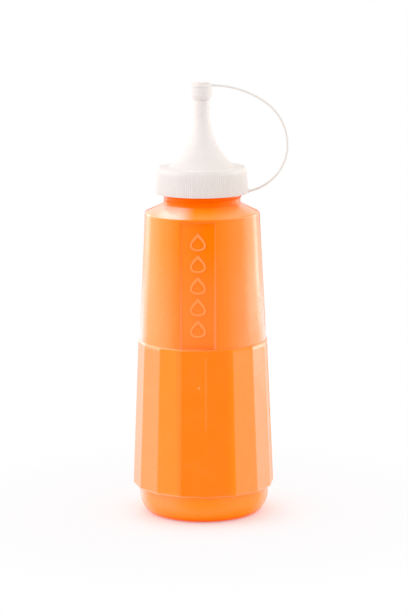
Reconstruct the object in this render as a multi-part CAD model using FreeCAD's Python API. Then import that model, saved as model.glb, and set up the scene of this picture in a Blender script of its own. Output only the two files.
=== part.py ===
import FreeCAD, Part
import math
import os

# Squeeze bottle for chili sauce, in millimetres.
# Origin: on the bottle's axis, at the plane it stands on. +Z up, label panel to -Y, cap strap to +X.

# Bottle: soft blow-moulded shell
bottleWall = 1.2
neckRadius = 17.5
neckHeight = 14.0           # from the foot of the neck to its rim
shoulderRadius = 25.9
shoulderRise = 4.1          # slope from the shoulder's edge up to the neck
shoulderRound = 1.2
neckRootRound = 0.8
bodyHeight = 139.6          # standing plane to the shoulder's edge
waistRadius = 28.9          # smooth upper body where it meets the ledge

# Foot: smooth round stretch under the facets, with a pushed-up base
footTopRadius = 29.7
footRadius = 29.35
footKneeHeight = 5.1
footKneeRound = 12.5
toeRadius = 25.8
toeRound = 4.2
standRingRadius = 22.4      # inner edge of the flat ring that the bottle stands on
pushUpRamp = 1.3
pushUpHeight = 2.6

# Faceted band round the lower body
facetCount = 16
facetTurn = -2.4            # degrees, middle of the front facet from the panel's middle
bandBottom = 13.2
bandTop = 80.7
bandBottomRadius = 31.9     # to the middle of a flat
bandTopRadius = 29.1
facetRound = 2.2            # soft corner between two flats
bandEdge = 0.4              # small chamfer along both rims of the band

# Recessed flat panel on the smooth upper body, from the ledge up
panelWidth = 16.4
panelTopGap = 1.6           # plain strip left below the shoulder's edge
panelTopDepth = 0.6         # depth at the panel's side edges, at its top and its bottom
panelBottomDepth = 1.0
panelRound = 0.8

# Sauce
sauceHeadroom = 1.5         # from the sauce's surface up to the foot of the neck

# Screw cap with its nozzle
plateThickness = 1.4        # top of the cap, seated on the neck's rim
skirtDrop = 10.9            # height of the cap without its nozzle
skirtBottomWall = 2.2       # from the bore to the ribs' crests
skirtTopWall = 1.4
capEdgeRound = 1.2
capPlainBand = 1.9          # plain band above the ribs
bandSetBack = 0.05          # the plain band stands this far inside the grooves between the ribs
ribCount = 140
ribDepth = 0.3
threadRoom = 1.4            # radial room between the neck and the skirt, which the thread fills
nozzleRootInset = 1.0       # the nozzle's side starts this far inside the neck's outside
nozzleFlare = 31.0          # radius of the hollow curve of the nozzle's side
stemRadius = 3.7
stemTipRadius = 3.45
nozzleWall = 1.55
nozzleRise = 37.0           # from the top of the cap to the nozzle's tip
mouthRadius = 1.4
mouthDepth = 1.5
cutOverlap = 0.75           # a cutting cylinder reaches this far past the faces that it opens

# Tip cap with its strap
tipCapRadius = 4.9
tipCapClearance = 0.15
tipCapLength = 5.4          # how far it reaches down over the nozzle
tipCapTaper = 0.7           # narrowing at its lower edge, over twice that height
tipFlangeRadius = 5.15
tipFlangeThickness = 1.1
tipFlangeRise = 1.5         # flange's top above the nozzle's tip
tipFlangeChamfer = 0.2
tipBossRadius = 3.6
tipBossHeight = 0.8
tipBossChamfer = 0.25
strapThickness = 1.0
strapReach = 38.9           # furthest the strap's centre line gets from the axis
strapBellyShare = 0.44      # height of that point, as a share of the way up to the tip cap
strapTopTurn = 35.0         # degrees turned by the first, wider arc
strapBottomTurn = 42.0
strapLanding = 12.0         # degrees by which the strap still slopes down where it lands
lugWidth = 1.8
lugHeight = 1.7
lugProud = 0.3

# Heights and radii that follow from the sizes above
neckFoot = bodyHeight + shoulderRise
neckRim = neckFoot + neckHeight
capTop = neckRim + plateThickness
skirtBottom = capTop - skirtDrop
nozzleTip = capTop + nozzleRise
flangeTop = nozzleTip + tipFlangeRise
sauceLevel = neckFoot - sauceHeadroom
ribTop = capTop - capPlainBand
boreRadius = neckRadius + threadRoom
skirtBottomRadius = boreRadius + skirtBottomWall
skirtTopRadius = boreRadius + skirtTopWall
nozzleRootRadius = neckRadius - nozzleRootInset
lugFace = skirtBottomRadius + lugProud
flareCentre = stemRadius + nozzleFlare
flareTop = capTop + math.sqrt(nozzleFlare ** 2 - (flareCentre - nozzleRootRadius) ** 2)


def corner(r, z):
    return FreeCAD.Vector(r, 0, z)


def turned(points):
    """Solid of revolution from a closed outline of (radius, height, rounding) corners."""
    corners = [corner(r, z) for r, z, _ in points]
    count = len(corners)
    entries, exits, arcs = [], [], []
    for i, (r, z, rounding) in enumerate(points):
        here = corners[i]
        toPrev = (corners[i - 1] - here).normalize()
        toNext = (corners[(i + 1) % count] - here).normalize()
        if rounding > 0:
            half = toPrev.getAngle(toNext) / 2
            run = rounding / math.tan(half)
            middle = (toPrev + toNext).normalize() * (rounding / math.sin(half) - rounding)
            entries.append(here + toPrev * run)
            exits.append(here + toNext * run)
            arcs.append(Part.Arc(entries[-1], here + middle, exits[-1]).toShape())
        else:
            entries.append(here)
            exits.append(here)
            arcs.append(None)
    edges = []
    for i in range(count):
        if arcs[i]:
            edges.append(arcs[i])
        start, end = exits[i], entries[(i + 1) % count]
        if (end - start).Length > 1e-6:
            edges.append(Part.makeLine(start, end))
    face = Part.Face(Part.Wire(edges))
    return face.revolve(FreeCAD.Vector(0, 0, 0), FreeCAD.Vector(0, 0, 1), 360)


def bottleOutline():
    """Corners of the bottle's outside from the middle of its base up to the foot of the neck."""
    return [
        (0, pushUpHeight, 0),
        (standRingRadius - pushUpRamp, pushUpRamp, 0),
        (standRingRadius, 0, 0),
        (toeRadius, 0, toeRound),
        (footRadius, footKneeHeight, footKneeRound),
        (footTopRadius, bandBottom, 0),
        (waistRadius, bandTop, 0),
        (shoulderRadius, bodyHeight, shoulderRound),
        (neckRadius, neckFoot, neckRootRound),
    ]


def insetOutline(points, inset):
    """The same corners moved inwards by the wall, each along the mitre of its two sides."""
    moved = []
    last = len(points) - 1
    for i, (r, z, rounding) in enumerate(points):
        before = points[i - 1] if i > 0 else (-points[1][0], points[1][1])
        after = points[i + 1] if i < last else (r, z + 1)
        d1 = FreeCAD.Vector(r - before[0], 0, z - before[1]).normalize()
        d2 = FreeCAD.Vector(after[0] - r, 0, after[1] - z).normalize()
        inward1 = FreeCAD.Vector(-d1.z, 0, d1.x)
        inward2 = FreeCAD.Vector(-d2.z, 0, d2.x)
        shift = (inward1 + inward2) * (inset / (1 + inward1.dot(inward2)))
        convex = d1.x * d2.z - d1.z * d2.x > 0
        if rounding > 0:
            rounding = max(rounding - inset, 0) if convex else rounding + inset
        moved.append((r + shift.x, z + shift.z, rounding))
    return moved


def facetSection(flatRadius, z):
    """Polygon with soft corners, one flat turned to -Y by facetTurn."""
    halfStep = math.pi / facetCount
    cornerRadius = flatRadius / math.cos(halfStep)
    run = facetRound * math.tan(halfStep)
    crownDrop = facetRound / math.cos(halfStep) - facetRound
    arcs = []
    for i in range(facetCount):
        angle = math.radians(facetTurn - 90) + halfStep * (2 * i + 1)
        out = FreeCAD.Vector(math.cos(angle), math.sin(angle), 0)
        along = FreeCAD.Vector(-math.sin(angle), math.cos(angle), 0) * (run * math.cos(halfStep))
        tip = out * cornerRadius + FreeCAD.Vector(0, 0, z)
        tangent = tip - out * (run * math.sin(halfStep))
        arcs.append(Part.Arc(tangent - along, tip - out * crownDrop, tangent + along).toShape())
    edges = []
    for i, arc in enumerate(arcs):
        following = arcs[(i + 1) % facetCount]
        edges += [arc, Part.makeLine(arc.lastVertex().Point, following.firstVertex().Point)]
    return Part.Wire(edges)


def facetBand(inset):
    low, high = bandBottom + inset, bandTop - inset
    sections = [
        facetSection(bandBottomRadius - inset - bandEdge, low),
        facetSection(bandBottomRadius - inset, low + bandEdge),
        facetSection(bandTopRadius - inset, high - bandEdge),
        facetSection(bandTopRadius - inset - bandEdge, high),
    ]
    return Part.makeLoft(sections, True, True)


def panelPocket(inset):
    """Block that leaves the flat panel, its floor parallel to X and leaning with the body."""
    half = panelWidth / 2
    panelTop = bodyHeight - panelTopGap
    slope = (waistRadius - shoulderRadius) / (bodyHeight - bandTop)
    radiusAtTop = shoulderRadius + slope * panelTopGap
    floorTop = math.sqrt(radiusAtTop ** 2 - half ** 2) - panelTopDepth
    floorBottom = math.sqrt(waistRadius ** 2 - half ** 2) - panelBottomDepth
    lean = (floorBottom - floorTop) / (panelTop - bandTop)
    low, high = bandTop - inset, panelTop + inset
    side = [
        FreeCAD.Vector(-half - inset, inset - floorBottom - lean * inset, low),
        FreeCAD.Vector(-half - inset, inset - floorTop + lean * inset, high),
        FreeCAD.Vector(-half - inset, -2 * waistRadius, high),
        FreeCAD.Vector(-half - inset, -2 * waistRadius, low),
    ]
    face = Part.Face(Part.makePolygon(side + side[:1]))
    block = face.extrude(FreeCAD.Vector(panelWidth + 2 * inset, 0, 0))
    floorEdges = []
    for edge in block.Edges:
        ends = [vertex.Point for vertex in edge.Vertexes]
        onFloor = min(end.y for end in ends) > -waistRadius
        onLedge = max(end.z for end in ends) < (low + high) / 2
        if onFloor and not onLedge:
            floorEdges.append(edge)
    return block.makeFillet(panelRound, floorEdges)


def bottleForm(inset, top):
    """Outside of the bottle for no inset, its hollow for the wall, closed off at the given height."""
    points = insetOutline(bottleOutline(), inset)
    core = turned(points + [(neckRadius - inset, top, 0), (0, top, 0)])
    return core.fuse(facetBand(inset)).cut(panelPocket(inset)).removeSplitter()


def bottle():
    return bottleForm(0, neckRim).cut(bottleForm(bottleWall, neckRim + bottleWall))


def sauce():
    """Fills the bottle from its base up to the sauce's surface."""
    above = Part.makeCylinder(2 * bandBottomRadius, neckRim, corner(0, sauceLevel))
    return bottleForm(bottleWall, neckRim).cut(above)


def skirtRadius(z):
    """Radius of the cap's skirt, over the ribs, which narrows towards the top."""
    return skirtTopRadius + (skirtBottomRadius - skirtTopRadius) * (capTop - z) / skirtDrop


def ribSection(z):
    """Corners of the ribbed skirt's star-shaped outline, a groove and a crest for each rib.

    The grooves shrink with the radius, which keeps each side of a rib flat."""
    crest = skirtRadius(z)
    groove = crest * (1 - ribDepth / skirtBottomRadius)
    corners = []
    for i in range(2 * ribCount):
        angle = math.pi / ribCount * i
        r = groove if i % 2 else crest
        corners.append(FreeCAD.Vector(r * math.cos(angle), r * math.sin(angle), z))
    return corners


def flatFace(corners):
    return Part.Face(Part.makePolygon(corners + corners[:1]))


def ribbedSkirt():
    """Tapered ring of ribs, closed below and above by flat faces."""
    low, high = ribSection(skirtBottom), ribSection(ribTop)
    faces = [flatFace(low), flatFace(high)]
    for i in range(2 * ribCount):
        faces.append(flatFace([low[i - 1], low[i], high[i], high[i - 1]]))
    return Part.Solid(Part.makeShell(faces))


def flareRadius(z, offset):
    """Radius of the nozzle's hollow curve, or of its inside, at a given height."""
    return flareCentre - math.sqrt((nozzleFlare + offset) ** 2 - (flareTop - z) ** 2)


def nozzleProfile(offset, rootHeight, tipHeight, tipRadius):
    """Closed half section of the nozzle's outside, or of its passage, from its root to its tip."""
    rootRadius = flareRadius(rootHeight, offset)
    middleHeight = (rootHeight + flareTop) / 2
    curve = Part.Arc(
        corner(rootRadius, rootHeight),
        corner(flareRadius(middleHeight, offset), middleHeight),
        corner(stemRadius - offset, flareTop),
    ).toShape()
    rest = Part.makePolygon([
        corner(stemRadius - offset, flareTop),
        corner(tipRadius, tipHeight),
        corner(0, tipHeight),
        corner(0, rootHeight),
        corner(rootRadius, rootHeight),
    ])
    face = Part.Face(Part.Wire([curve] + rest.Edges))
    return face.revolve(FreeCAD.Vector(0, 0, 0), FreeCAD.Vector(0, 0, 1), 360)


def strapLug():
    """Small smooth pad at the foot of the ribs, where the strap lands."""
    base = FreeCAD.Vector(boreRadius, -lugWidth / 2, skirtBottom)
    return Part.makeBox(lugFace - boreRadius, lugWidth, lugHeight, base)


def nozzleCap():
    setBack = ribDepth + bandSetBack
    lid = turned([
        (0, ribTop, 0),
        (skirtRadius(ribTop) - setBack, ribTop, 0),
        (skirtTopRadius - setBack, capTop, capEdgeRound),
        (0, capTop, 0),
    ])
    nozzle = nozzleProfile(0, capTop, nozzleTip, stemTipRadius)
    bore = Part.makeCylinder(boreRadius, neckRim - skirtBottom, corner(0, skirtBottom))
    passage = nozzleProfile(nozzleWall, neckRim, nozzleTip - mouthDepth, stemTipRadius - nozzleWall)
    mouthFoot = corner(0, nozzleTip - mouthDepth - cutOverlap)
    mouth = Part.makeCylinder(mouthRadius, mouthDepth + 2 * cutOverlap, mouthFoot)
    whole = ribbedSkirt().fuse([lid, nozzle, strapLug()]).removeSplitter()
    return whole.cut([bore, passage, mouth])


def arcStep(heading, turn):
    """Way covered by an arc of radius 1 that turns downwards from a heading, both in degrees."""
    a, b = math.radians(heading), math.radians(heading + turn)
    return FreeCAD.Vector(math.sin(b) - math.sin(a), 0, math.cos(b) - math.cos(a))


def twoArcs(start, end, heading, firstTurn, secondTurn):
    """Two tangent arcs between two points; both radii follow from the points and the turns."""
    one = arcStep(heading, firstTurn)
    two = arcStep(heading + firstTurn, secondTurn)
    way = end - start
    size = one.x * two.z - one.z * two.x
    radii = ((way.x * two.z - way.z * two.x) / size, (one.x * way.z - one.z * way.x) / size)
    arcs = []
    here = start
    for radius, turn in zip(radii, (firstTurn, secondTurn)):
        middle = here + arcStep(heading, turn / 2) * radius
        there = here + arcStep(heading, turn) * radius
        arcs.append(Part.Arc(here, middle, there).toShape())
        here = there
        heading += turn
    return arcs


def strapPath():
    """Centre line in the XZ plane: out from the tip cap's flange, round, and back into the lug."""
    start = corner(tipFlangeRadius - strapThickness / 2, flangeTop - tipFlangeThickness / 2)
    landing = corner(lugFace, skirtBottom + lugHeight / 2)
    belly = corner(strapReach, landing.z + strapBellyShare * (start.z - landing.z))
    upper = twoArcs(start, belly, 0, strapTopTurn, 90 - strapTopTurn)
    lowerTurn = 90 - strapLanding
    lower = twoArcs(belly, landing, 90, strapBottomTurn, lowerTurn - strapBottomTurn)
    slope = math.radians(strapLanding)
    beyond = landing - FreeCAD.Vector(math.cos(slope), 0, math.sin(slope)) * strapThickness
    return Part.Wire(upper + lower + [Part.makeLine(landing, beyond)])


def strap():
    """Round strap, trimmed flush with the face of the lug."""
    path = strapPath()
    start = path.Edges[0].firstVertex().Point
    section = Part.Wire(Part.makeCircle(strapThickness / 2, start, FreeCAD.Vector(1, 0, 0)))
    rod = path.makePipe(Part.Face(section))
    trimRadius = 2 * strapThickness + lugHeight
    trim = Part.makeCylinder(
        trimRadius, lugFace, corner(0, skirtBottom + lugHeight / 2), FreeCAD.Vector(1, 0, 0))
    return rod.cut(trim)


def stemRadiusAt(z):
    return stemTipRadius + (stemRadius - stemTipRadius) * (nozzleTip - z) / (nozzleTip - flareTop)


def tipCap():
    foot = nozzleTip - tipCapLength
    flangeFoot = flangeTop - tipFlangeThickness
    bossTop = flangeTop + tipBossHeight
    body = turned([
        (0, foot, 0),
        (tipCapRadius - tipCapTaper, foot, 0),
        (tipCapRadius, foot + 2 * tipCapTaper, 0),
        (tipCapRadius, flangeFoot, 0),
        (tipFlangeRadius, flangeFoot, 0),
        (tipFlangeRadius, flangeTop - tipFlangeChamfer, 0),
        (tipFlangeRadius - tipFlangeChamfer, flangeTop, 0),
        (tipBossRadius, flangeTop, 0),
        (tipBossRadius, bossTop - tipBossChamfer, 0),
        (tipBossRadius - tipBossChamfer, bossTop, 0),
        (0, bossTop, 0),
    ])
    socket = turned([
        (0, foot, 0),
        (stemRadiusAt(foot) + tipCapClearance, foot, 0),
        (stemTipRadius + tipCapClearance, nozzleTip, 0),
        (0, nozzleTip, 0),
    ])
    return body.fuse(strap()).cut(socket)


def main():
    os.makedirs("parts", exist_ok=True)
    pieces = {
        "bottle": bottle(),
        "sauce": sauce(),
        "nozzle_cap": nozzleCap(),
        "tip_cap": tipCap(),
    }
    for name, shape in pieces.items():
        box = shape.optimalBoundingBox()
        print(name, "solids", len(shape.Solids), "valid", shape.isValid(), "faces", len(shape.Faces),
              "volume %.1f" % shape.Volume, "height %.2f to %.2f" % (box.ZMin, box.ZMax))
        shape.Solids[0].exportStep("parts/%s.step" % name)
    strapLength = sum(edge.Length for edge in strapPath().Edges[:-1])
    print("strap length %.1f" % strapLength, "volume %.2f" % strap().Volume,
          "expected %.2f" % (strapLength * math.pi * strapThickness ** 2 / 4))


main()
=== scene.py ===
import math

import bmesh
import bpy
from mathutils import Matrix, Vector


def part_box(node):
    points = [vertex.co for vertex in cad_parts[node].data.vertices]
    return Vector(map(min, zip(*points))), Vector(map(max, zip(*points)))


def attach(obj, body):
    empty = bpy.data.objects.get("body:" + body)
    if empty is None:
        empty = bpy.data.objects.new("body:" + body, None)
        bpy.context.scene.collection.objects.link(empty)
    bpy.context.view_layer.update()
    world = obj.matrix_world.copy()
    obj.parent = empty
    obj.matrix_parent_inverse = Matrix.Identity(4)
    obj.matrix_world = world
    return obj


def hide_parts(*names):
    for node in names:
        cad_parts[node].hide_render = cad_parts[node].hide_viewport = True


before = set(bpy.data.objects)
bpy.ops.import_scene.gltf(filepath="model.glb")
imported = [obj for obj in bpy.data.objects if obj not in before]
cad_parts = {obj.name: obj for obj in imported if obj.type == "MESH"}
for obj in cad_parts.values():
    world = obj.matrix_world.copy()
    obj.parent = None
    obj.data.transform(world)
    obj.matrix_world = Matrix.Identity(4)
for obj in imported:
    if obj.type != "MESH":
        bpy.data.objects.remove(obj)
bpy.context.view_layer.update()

scene = bpy.context.scene
mm = 0.001  # pieces are drawn in millimetres and scaled when they are finished
upright = (0, 0, 1)
mergeWithin = 0.0005  # points closer than this become one


# shared tools for drawing pieces

# corner: (radius, height, rounding); arc: (centreRadius, centreHeight, degrees, steps)
def wire(bm, corners, closed=False, roundSteps=4):
    verts, rounded = [], []
    for entry in corners:
        if len(entry) == 4:
            radius, height, turn, steps = entry
            made = bmesh.ops.spin(bm, geom=[verts[-1]], cent=(radius, 0, height), axis=(0, 1, 0),
                                  angle=math.radians(turn), steps=steps)
            verts.append(made["geom_last"][0])
            continue
        radius, height, rounding = entry
        vert = bm.verts.new((radius, 0, height))
        if verts:
            bm.edges.new((verts[-1], vert))
        verts.append(vert)
        if rounding:
            rounded.append((vert, rounding))
    if closed:
        bm.edges.new((verts[-1], verts[0]))
    for vert, rounding in rounded:
        ways = [(edge.other_vert(vert).co - vert.co).normalized() for edge in vert.link_edges]
        run = rounding / math.tan(ways[0].angle(ways[1]) / 2)
        bmesh.ops.bevel(bm, geom=[vert], affect="VERTICES", offset=run, offset_type="OFFSET",
                        segments=roundSteps, profile=0.5, material=-1)
    return verts[0]


def turn(bm, steps):
    bmesh.ops.spin(bm, geom=bm.verts[:] + bm.edges[:], cent=(0, 0, 0), axis=upright,
                   angle=math.radians(360), steps=steps, use_merge=True)


# Merges, turns the faces outwards, scales to metres and hands the piece over
def finishPiece(bm, name, material, sharpAngle=32, replaced=()):
    bmesh.ops.remove_doubles(bm, verts=bm.verts, dist=mergeWithin)
    bmesh.ops.dissolve_degenerate(bm, edges=bm.edges, dist=mergeWithin)
    bmesh.ops.recalc_face_normals(bm, faces=bm.faces)
    bmesh.ops.scale(bm, vec=(mm, mm, mm), verts=bm.verts)
    for face in bm.faces:
        face.smooth = True
    for edge in bm.edges:
        edge.smooth = edge.calc_face_angle(0) < math.radians(sharpAngle)
    openEdges = sum(not edge.is_manifold for edge in bm.edges)
    mesh = bpy.data.meshes.new(name)
    bm.to_mesh(mesh)
    bm.free()
    piece = bpy.data.objects.new(name, mesh)
    scene.collection.objects.link(piece)
    mesh.materials.append(material)
    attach(piece, "root")
    if replaced:
        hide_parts(*replaced)
    print(name, "faces", len(mesh.polygons), "open edges", openEdges)
    return piece


def addNode(tree, kind, inputs=None, **settings):
    made = tree.nodes.new(kind)
    for name, value in settings.items():
        setattr(made, name, value)
    for name, value in (inputs or {}).items():
        if isinstance(value, bpy.types.NodeSocket):
            tree.links.new(value, made.inputs[name])
        else:
            made.inputs[name].default_value = value
    return made


def startGroup(name, inputs, outputs):
    tree = bpy.data.node_groups.new(name, "ShaderNodeTree")
    for label, kind, value in inputs:
        socket = tree.interface.new_socket(label, in_out="INPUT", socket_type="NodeSocket" + kind)
        if value is not None:
            socket.default_value = value
    for label, kind in outputs:
        tree.interface.new_socket(label, in_out="OUTPUT", socket_type="NodeSocket" + kind)
    return tree, tree.nodes.new("NodeGroupInput").outputs, tree.nodes.new("NodeGroupOutput").inputs


def mathNode(tree, operation, a, b=0.0, clamp=False):
    return addNode(tree, "ShaderNodeMath", {0: a, 1: b}, operation=operation, use_clamp=clamp).outputs[0]


def timesNode(tree, first, *others):
    for other in others:
        first = mathNode(tree, "MULTIPLY", first, other)
    return first


def mostNode(tree, first, *others):
    for other in others:
        first = mathNode(tree, "MAXIMUM", first, other)
    return first


def noiseNode(tree, vector, scale, detail=2.0, roughness=0.5):
    return addNode(tree, "ShaderNodeTexNoise", {"Vector": vector, "Scale": scale, "Detail": detail,
                                                "Roughness": roughness}).outputs["Fac"]


def rangeNode(tree, value, low, high, toLow=0.0, toHigh=1.0, smooth=True):
    return addNode(tree, "ShaderNodeMapRange", {"Value": value, "From Min": low, "From Max": high,
                                                "To Min": toLow, "To Max": toHigh},
                   interpolation_type="SMOOTHSTEP" if smooth else "LINEAR").outputs["Result"]


# 1 between two values, fading out over a soft edge
def bandNode(tree, value, low, high, soft):
    return timesNode(tree, rangeNode(tree, value, low - soft, low),
                     rangeNode(tree, value, high, high + soft, 1.0, 0.0))


def mixColour(tree, share, first, second):
    made = addNode(tree, "ShaderNodeMix", {0: share, 6: first, 7: second}, data_type="RGBA")
    return made.outputs[2]


def mixValue(tree, share, first, second):
    made = addNode(tree, "ShaderNodeMix", {0: share, 2: first, 3: second}, data_type="FLOAT")
    return made.outputs[0]


def bumpNode(tree, height, strength, depth):
    return addNode(tree, "ShaderNodeBump", {"Height": height, "Strength": strength,
                                            "Distance": depth}).outputs[0]


def facingNode(tree):
    return addNode(tree, "ShaderNodeLayerWeight", {"Blend": 0.5}).outputs["Facing"]


# What the camera sees, straight on, mirrored or through glass
def seenNode(tree):
    rays = addNode(tree, "ShaderNodeLightPath").outputs
    return mostNode(tree, rays["Is Camera Ray"], rays["Is Glossy Ray"], rays["Is Transmission Ray"])


# Links or sets the shader's own sockets
def feedShader(tree, shader, values):
    for name, value in values.items():
        if isinstance(value, bpy.types.NodeSocket):
            tree.links.new(value, shader.inputs[name])
        else:
            shader.inputs[name].default_value = value


# shared surface effects

effects = {
    "grainDetail": (3.0,), "waveDetail": (1.0,), "mottleDetail": (4.0, 0.65),
    "scuffTurn": (0.3, 0.5, 0.2), "scuffStretch": (1.0, 1.0, 9.0), "scuffDetail": (5.0, 0.6),
    "scuffLines": (0.60, 0.70), "scuffPatches": (35.0, 2.0), "scuffPlaces": (0.52, 0.66),
    "strokeEdge": (0.3, 1.0, 1.0, 0.0),
}


# Soft waviness and fine grain of moulded plastic, as a height and a mottling mask
def makeMouldedSkin():
    tree, given, put = startGroup(
        "mouldedSkin",
        [("Vector", "Vector", None), ("Grain Scale", "Float", 1500.0), ("Wave Scale", "Float", 70.0),
         ("Grain Share", "Float", 0.25)],
        [("Height", "Float"), ("Mottle", "Float")])
    grain = noiseNode(tree, given["Vector"], given["Grain Scale"], *effects["grainDetail"])
    wave = noiseNode(tree, given["Vector"], given["Wave Scale"], *effects["waveDetail"])
    mottle = noiseNode(tree, given["Vector"], given["Wave Scale"], *effects["mottleDetail"])
    tree.links.new(mixValue(tree, given["Grain Share"], wave, grain), put["Height"])
    tree.links.new(mottle, put["Mottle"])
    return tree


# Sparse thin rub marks from handling
def makeScuffs():
    tree, given, put = startGroup(
        "handlingScuffs",
        [("Vector", "Vector", None), ("Scale", "Float", 60.0), ("Amount", "Float", 0.5)],
        [("Mask", "Float")])
    stretched = addNode(tree, "ShaderNodeMapping", {
        "Vector": given["Vector"], "Rotation": effects["scuffTurn"],
        "Scale": effects["scuffStretch"]}).outputs[0]
    lines = noiseNode(tree, stretched, given["Scale"], *effects["scuffDetail"])
    patches = noiseNode(tree, given["Vector"], *effects["scuffPatches"])
    fine = rangeNode(tree, lines, *effects["scuffLines"])
    where = rangeNode(tree, patches, *effects["scuffPlaces"])
    tree.links.new(timesNode(tree, fine, where, given["Amount"]), put["Mask"])
    return tree


# Mask along a short stroke between two places, for a speck or a rub mark
def makeStroke():
    tree, given, put = startGroup(
        "strokeMask",
        [("Vector", "Vector", None), ("Start", "Vector", None), ("End", "Vector", None),
         ("Width", "Float", 0.001)],
        [("Mask", "Float")])

    def vectorNode(operation, a, b):
        return addNode(tree, "ShaderNodeVectorMath", {0: a, 1: b}, operation=operation).outputs

    away = vectorNode("SUBTRACT", given["Vector"], given["Start"])[0]
    way = vectorNode("SUBTRACT", given["End"], given["Start"])[0]
    along = mathNode(tree, "DIVIDE", vectorNode("DOT_PRODUCT", away, way)["Value"],
                     vectorNode("DOT_PRODUCT", way, way)["Value"], clamp=True)
    reached = addNode(tree, "ShaderNodeVectorMath", {0: way, "Scale": along}, operation="SCALE").outputs[0]
    far = mathNode(tree, "DIVIDE", vectorNode("DISTANCE", away, reached)["Value"], given["Width"])
    tree.links.new(rangeNode(tree, far, *effects["strokeEdge"]), put["Mask"])
    return tree


mouldedSkin, handlingScuffs, strokeMask = makeMouldedSkin(), makeScuffs(), makeStroke()


def placeGroup(tree, group, **inputs):
    made = tree.nodes.new("ShaderNodeGroup")
    made.node_tree = group
    for name, value in inputs.items():
        socket = made.inputs[name.replace("_", " ")]
        if isinstance(value, bpy.types.NodeSocket):
            tree.links.new(value, socket)
        else:
            socket.default_value = value
    return made.outputs


def startMaterial(name):
    material = bpy.data.materials.new(name)
    material.use_nodes = True
    tree = material.node_tree
    shader = tree.nodes["Principled BSDF"]
    place = tree.nodes.new("ShaderNodeTexCoord").outputs["Object"]
    return material, tree, shader, place


# materials

orange = {
    "facet": (1.0, 0.212, 0.006, 1), "litFacetSide": (1.0, 0.258, 0.008, 1),
    "upper": (1.0, 0.205, 0.020, 1), "upperHigh": (1.0, 0.205, 0.004, 1),
    "upperLeft": (1.0, 0.278, 0.026, 1), "upperRight": (1.0, 0.242, 0.024, 1),
    "panel": (1.0, 0.200, 0.001, 1), "panelLow": (1.0, 0.225, 0.028, 1), "raised": (1.0, 0.31, 0.075, 1),
    "slope": (1.0, 0.272, 0.002, 1), "creamHighlight": (1.0, 0.63, 0.475, 1),
    "foot": (1.0, 0.287, 0.018, 1), "shadedFootLow": (1.0, 0.272, 0.0, 1), "deep": (1.0, 0.155, 0.0, 1),
    "pale": (1.0, 0.31, 0.06, 1), "line": (1.0, 0.50, 0.22, 1), "seam": (0.95, 0.085, 0.0, 1),
    "dark": (0.22, 0.03, 0.004, 1), "noGlow": (0.0, 0.0, 0.0, 1), "neckGlow": (0.16, 0.018, 0.0, 1),
    "toeGlow": (0.20, 0.010, 0.0, 1), "mottle": (0.35, 0.7, 0, 0.10), "roughness": (0.3, 0.75, 0.20, 0.30),
    "bump": (0.22, 0.0006), "skin": {"Grain_Scale": 1400.0, "Wave_Scale": 65.0, "Grain_Share": 0.12},
    "scuffs": {"Scale": 90.0, "Amount": 0.05},
    "shell": {"Emission Strength": 1.0, "IOR": 1.5, "Coat IOR": 1.7, "Coat Roughness": 0.22,
              "Sheen Weight": 0.08, "Sheen Roughness": 0.3},
}
# The raised drops are painted paler than the panel, a painted highlight where their strokes catch the light.
relief = dict(orange, upper=orange["raised"], upperHigh=orange["raised"], panel=orange["raised"],
              panelLow=orange["raised"])

# where the bottle's colour, painted shade and gloss change, in metres: from, to, and the shares there
heightRamps = {
    "neck": (0.1434, 0.1441), "upper": (0.0800, 0.0808), "upperHigh": (0.105, 0.132),
    "panelHigh": (0.095, 0.130),
    "seam": (0.126, 0.138, 0.3, 1), "foot": (0.0122, 0.0132, 1, 0), "shadedFootLow": (0.0020, 0.0080, 1, 0),
    "toe": (0.0002, 0.0036, 1, 0),
}
acrossRamps = {
    "upperLeft": (-0.019, -0.004, 1, 0), "upperRight": (0.004, 0.016), "facetLeft": (-0.0110, -0.0070, 1, 0),
    "facetRight": (0.0125, 0.0170), "creamLeft": (-0.022, -0.015, 0.5, 1),
    "creamRight": (-0.0095, -0.0012, 1, 0),
    "slopeRight": (0.004, 0.016, 0, 0.10), "footLeft": (-0.016, -0.004, 0.3, 1),
    "panelSide": (0.0072, 0.0080, 1, 0), "panelLeft": (-0.008, 0.005, 0.3, 0),
    "edgeHighlightSide": (-0.018, 0.006, 0.5, 0.05),
}
depthRamps = {
    "seam": (0.0003, 0.0006, 0.9, 0), "creamHighlight": (-0.008, -0.002, 1, 0), "panel": (-0.010, -0.008, 1, 0),
}
heightBands = {  # from, to, softness
    "slope": (0.1394, 0.1432, 0.0004), "coat": (0.1390, 0.1432, 0.0004), "panel": (0.0812, 0.1374, 0.0006),
    "ledgeHighlight": (0.0803, 0.0808, 0.0002), "rimHighlight": (0.0131, 0.0138, 0.0004),
    "dullLedge": (0.0797, 0.0808, 0.0003),
}
# how the gloss grows as the surface turns away, and how much of it each place shows
polish = {
    "bend": (0.04, 0.24, 0.01, 0.5), "rim": (0.50, 0.85, 0, 4.3), "facetBend": (0.05, 0.34, 0.07, 1.15),
    "facetTurned": (0.34, 0.60, 0, 1.61), "facetRim": (0.54, 0.66, 0, 2.53),
    "upperHeight": (0.085, 0.133, 2.035, 0.715), "upperAcross": (-0.02, 0.02, 1.08, 0.85),
    "footHeight": (0.0010, 0.0090, 0.08, 1.8), "footAcross": (-0.004, 0.022, 1, 0.35),
    "dullSlope": (-0.017, -0.013, 0.9, 0), "dullLedge": (0, 0.012, 0, 0.6), "dullNeck": 0.7,
    "coatRight": (-0.014, 0.002, 1, 0.5), "coatLeft": (-0.0250, -0.0225, 1, 0.75),
}
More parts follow.
